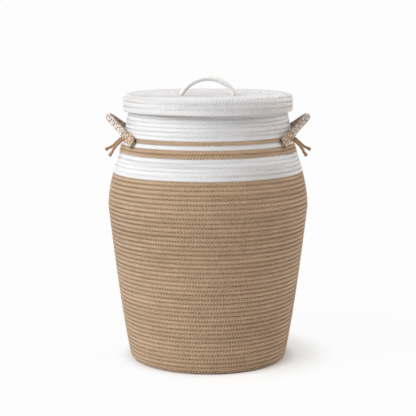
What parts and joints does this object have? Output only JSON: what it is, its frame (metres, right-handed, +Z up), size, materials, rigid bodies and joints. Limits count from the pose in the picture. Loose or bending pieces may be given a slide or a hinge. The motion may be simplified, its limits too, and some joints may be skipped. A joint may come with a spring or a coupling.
{
  "type": "laundry basket",
  "caption": "Jar-shaped laundry basket of stitched rope coils with a lift-off lid, a cord handle on the lid and braided rope side handles.",
  "frame": {"origin": "centre of the underside, on the surface that the basket stands on", "axes": "+Z up, -Y the front, +X to the right; the side handles are on +X and -X"},
  "size_m": [0.4226, 0.3998, 0.5671],
  "materials": {
    "jute_coils": "coiled jute rope, stitched, matte",
    "cotton_coils": "coiled white cotton rope, stitched, matte",
    "lid_cord": "smooth white cord, matte",
    "braided_rope": "round braid of jute and white cotton strands, matte",
    "lashing_cord": "twisted jute cord, matte"
  },
  "bodies": {
    "basket": {"base_coils": "jute_coils", "body_coils": "jute_coils", "shoulder_coils": "cotton_coils", "lower_stripe_coils": "jute_coils", "spacer_coil": "cotton_coils", "upper_stripe_coil": "jute_coils", "neck_coils": "cotton_coils", "right_front_rope_end": "braided_rope", "right_front_knot": "lashing_cord", "right_front_tail": "lashing_cord", "right_back_rope_end": "braided_rope", "right_back_knot": "lashing_cord", "right_back_tail": "lashing_cord", "left_front_rope_end": "braided_rope", "left_front_knot": "lashing_cord", "left_front_tail": "lashing_cord", "left_back_rope_end": "braided_rope", "left_back_knot": "lashing_cord", "left_back_tail": "lashing_cord"},
    "lid": {"lid_top_coils": "cotton_coils", "lid_rim_coils": "cotton_coils", "lid_handle_left_knot": "lid_cord", "lid_handle_right_knot": "lid_cord"},
    "lid_handle": {"lid_handle_cord": "lid_cord"},
    "right_handle": {"right_handle_rope": "braided_rope"},
    "left_handle": {"left_handle_rope": "braided_rope"}
  },
  "joints": [
    {"name": "lid_lift", "type": "slide", "parent": "basket", "child": "lid", "axis": [0, 0, 1], "range_m": [0, 0.15]},
    {"name": "lid_handle_tilt", "type": "hinge", "parent": "lid", "child": "lid_handle", "pos_m": [0, 0, 0.53323], "axis": [1, 0, 0], "range_deg": [-60, 60]},
    {"name": "right_handle_swing", "type": "hinge", "parent": "basket", "child": "right_handle", "pos_m": [0.16388, 0, 0.4575], "axis": [0, 1, 0], "range_deg": [-20, 50]},
    {"name": "left_handle_swing", "type": "hinge", "parent": "basket", "child": "left_handle", "pos_m": [-0.16388, 0, 0.4575], "axis": [0, -1, 0], "range_deg": [-20, 50]}
  ]
}
